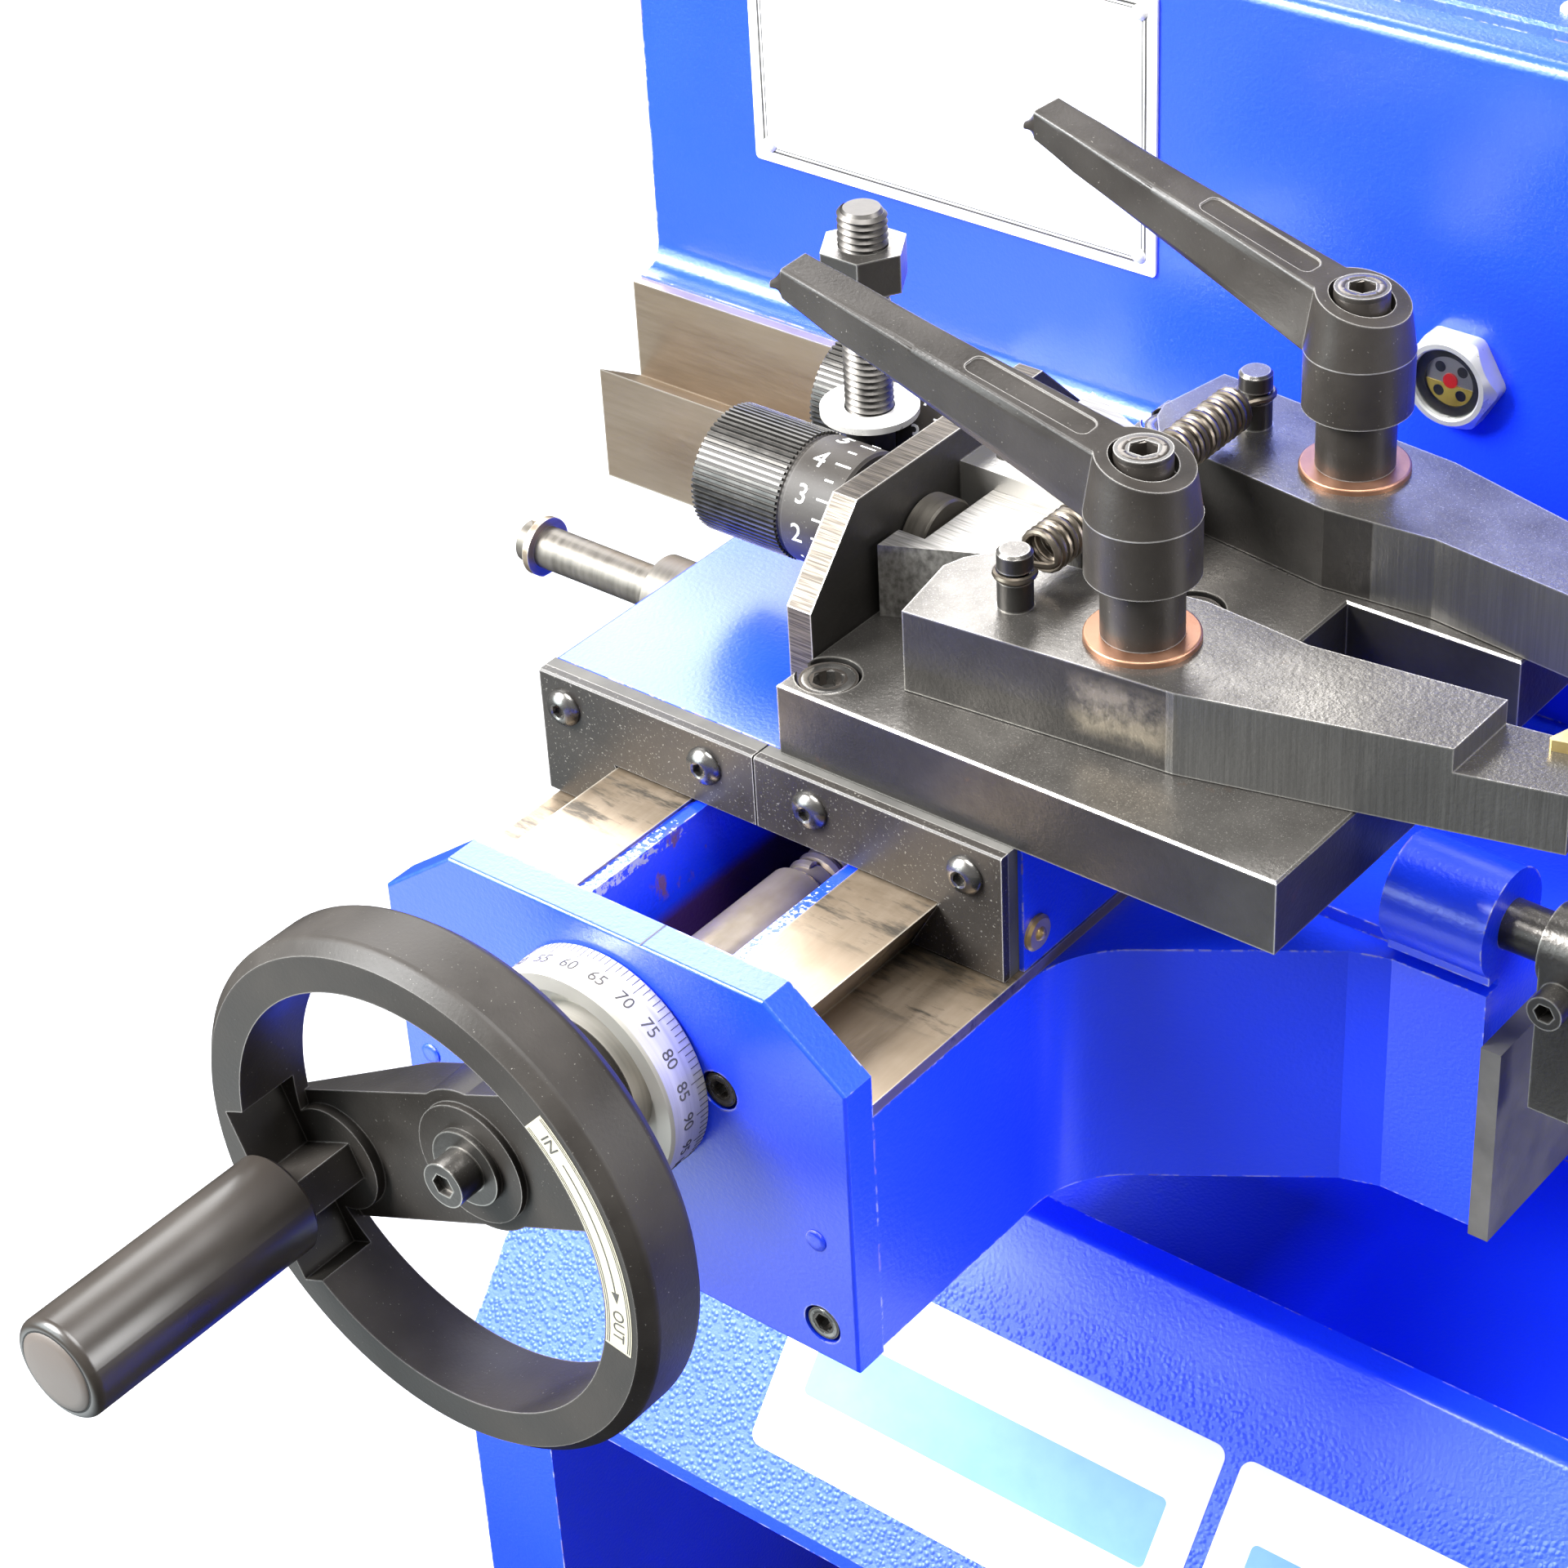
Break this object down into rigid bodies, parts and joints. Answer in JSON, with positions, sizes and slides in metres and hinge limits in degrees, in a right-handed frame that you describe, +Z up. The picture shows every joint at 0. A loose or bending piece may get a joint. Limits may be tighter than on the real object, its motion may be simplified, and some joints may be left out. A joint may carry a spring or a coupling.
{
  "type": "brake lathe",
  "caption": "Bench brake lathe with a sliding carriage, screw-fed cross slide and twin pivoting tool arms that straddle a disc turned on a motor-driven arbor.",
  "frame": {"origin": "centre of the four foot holes on the floor", "axes": "+X along the bed towards the spindle, +Y towards the headstock, +Z up"},
  "size_m": [0.695, 0.6435, 0.6387],
  "materials": {
    "blue_paint": "glossy orange-peel enamel",
    "ground_steel": "ground, lightly oiled",
    "black_steel": "blackened, worn at the edges",
    "satin_black": "satin black coating",
    "black_plastic": "smooth gloss",
    "rubber": "matt",
    "copper": "soft copper",
    "bronze": "turned",
    "bright_zinc": "bright zinc",
    "dial_silver": "satin",
    "printed_plate": "bare printed plate",
    "sight_glass": "clear over oil",
    "coated_carbide": "gold coated carbide",
    "green_plastic": "smooth",
    "red_plastic": "smooth",
    "motor_grey": "hammered grey"
  },
  "bodies": {
    "frame": {"base_casting": "blue_paint", "headstock_housing": "blue_paint", "bed_way": "ground_steel", "headstock_lid": "blue_paint", "nameplate": "printed_plate", "sight_bezel": "bright_zinc", "sight_window": "sight_glass", "spindle_cover": "blue_paint", "switch_plate": "black_plastic", "belt_guard": "blue_paint", "motor": "motor_grey", "feed_bearing": "blue_paint"},
    "spindle": {"spindle_shaft": "ground_steel", "arbor_adapters": "ground_steel", "arbor_nut": "black_steel"},
    "start": {"start_button": "green_plastic"},
    "stop": {"stop_button": "red_plastic"},
    "feed_screw": {"feed_screw": "ground_steel", "feed_crank": "satin_black"},
    "carriage": {"saddle_arm": "blue_paint", "cross_ways": "ground_steel", "end_plate": "blue_paint", "end_plate_screws": "black_steel", "carriage_wipers": "rubber", "feed_nut": "bronze", "trip_rod": "ground_steel", "split_pin": "ground_steel"},
    "feed_lever": {"feed_lever": "black_steel"},
    "cross_slide": {"upper_saddle": "blue_paint", "saddle_gib": "ground_steel", "wiper_plates": "satin_black", "wiper_rubbers": "rubber", "wiper_screws": "black_steel", "ball_oiler": "bronze", "cross_nut": "bronze", "tool_plate": "black_steel", "tool_plate_screws": "black_steel", "clamp_stud": "black_steel", "stud_nut": "black_steel", "stud_washer": "bright_zinc", "knob_bracket": "black_steel", "pivot_studs": "black_steel", "arm_spring": "black_steel"},
    "handwheel": {"leadscrew": "ground_steel", "dial": "dial_silver", "handwheel": "satin_black", "hub_screw": "black_steel"},
    "handle": {"handle_grip": "black_plastic"},
    "front_lever": {"front_lever": "satin_black"},
    "rear_lever": {"rear_lever": "satin_black"},
    "front_wedge": {"front_wedge": "black_steel"},
    "rear_wedge": {"rear_wedge": "black_steel"},
    "front_knob": {"front_knob": "black_steel"},
    "rear_knob": {"rear_knob": "black_steel"},
    "front_arm": {"front_arm": "black_steel", "front_insert": "coated_carbide", "front_washer": "copper"},
    "rear_arm": {"rear_arm": "black_steel", "rear_insert": "coated_carbide", "rear_washer": "copper"}
  },
  "joints": [
    {"name": "feed_turn", "type": "hinge", "parent": "frame", "child": "feed_screw", "pos_m": [0.2725, -0.08, 0.392], "axis": [1, 0, 0], "range_deg": [-5850, 9450]},
    {"name": "carriage_slide", "type": "slide", "parent": "frame", "child": "carriage", "axis": [1, 0, 0], "range_m": [-0.1051, 0.0651]},
    {"name": "cross_turn", "type": "hinge", "parent": "carriage", "child": "handwheel", "pos_m": [-0.1275, -0.305, 0.4475], "axis": [0, 1, 0], "range_deg": [-4860, 1800]},
    {"name": "cross_slide", "type": "slide", "parent": "carriage", "child": "cross_slide", "axis": [0, 1, 0], "range_m": [-0.0541, 0.0201]},
    {"name": "handle_turn", "type": "hinge", "parent": "handwheel", "child": "handle", "pos_m": [-0.17774, -0.395, 0.42513], "axis": [0, 1, 0], "continuous": true},
    {"name": "front_lever_turn", "type": "hinge", "parent": "cross_slide", "child": "front_lever", "pos_m": [-0.0401, -0.164, 0.57], "axis": [0, 0, 1], "range_deg": [-12, 70]},
    {"name": "rear_lever_turn", "type": "hinge", "parent": "cross_slide", "child": "rear_lever", "pos_m": [-0.0401, -0.0626, 0.57], "axis": [0, 0, 1], "range_deg": [-8, 25]},
    {"name": "feed_lever_turn", "type": "hinge", "parent": "carriage", "child": "feed_lever", "pos_m": [0.0705, -0.129, 0.473], "axis": [1, 0, 0], "range_deg": [-10, 10]},
    {"name": "spindle_turn", "type": "hinge", "parent": "frame", "child": "spindle", "pos_m": [0.2025, -0.005, 0.541], "axis": [0, 1, 0], "continuous": true},
    {"name": "start_press", "type": "slide", "parent": "frame", "child": "start", "axis": [0, 1, 0], "range_m": [0, 0.003], "stiffness_N_per_m": 300},
    {"name": "stop_press", "type": "slide", "parent": "frame", "child": "stop", "axis": [0, 1, 0], "range_m": [0, 0.003], "stiffness_N_per_m": 300},
    {"name": "front_knob_turn", "type": "hinge", "parent": "cross_slide", "child": "front_knob", "pos_m": [-0.1875, -0.1398, 0.5345], "axis": [1, 0, 0], "range_deg": [-720, 720]},
    {"name": "front_wedge_slide", "type": "slide", "parent": "cross_slide", "child": "front_wedge", "axis": [1, 0, 0], "range_m": [-0.00201, 0.00201]},
    {"name": "front_arm_turn", "type": "hinge", "parent": "cross_slide", "child": "front_arm", "pos_m": [-0.0401, -0.164, 0.534], "axis": [0, 0, 1], "range_deg": [-1.15, 1.15], "deforming": ["arm_spring"]},
    {"name": "rear_knob_turn", "type": "hinge", "parent": "cross_slide", "child": "rear_knob", "pos_m": [-0.1875, -0.0868, 0.5345], "axis": [1, 0, 0], "range_deg": [-720, 720]},
    {"name": "rear_wedge_slide", "type": "slide", "parent": "cross_slide", "child": "rear_wedge", "axis": [1, 0, 0], "range_m": [-0.00201, 0.00201]},
    {"name": "rear_arm_turn", "type": "hinge", "parent": "cross_slide", "child": "rear_arm", "pos_m": [-0.0401, -0.0626, 0.534], "axis": [0, 0, 1], "range_deg": [-1.15, 1.15], "deforming": ["arm_spring"]}
  ],
  "couplings": [
    {"joint": "carriage_slide", "follows": "feed_turn", "m_per_rad": -0.00063662},
    {"joint": "cross_slide", "follows": "cross_turn", "m_per_rad": 0.00063662},
    {"joint": "front_wedge_slide", "follows": "front_knob_turn", "m_per_rad": -0.00015915},
    {"joint": "front_arm_turn", "follows": "front_knob_turn", "ratio": -0.001583},
    {"joint": "rear_wedge_slide", "follows": "rear_knob_turn", "m_per_rad": -0.00015915},
    {"joint": "rear_arm_turn", "follows": "rear_knob_turn", "ratio": 0.001583}
  ]
}
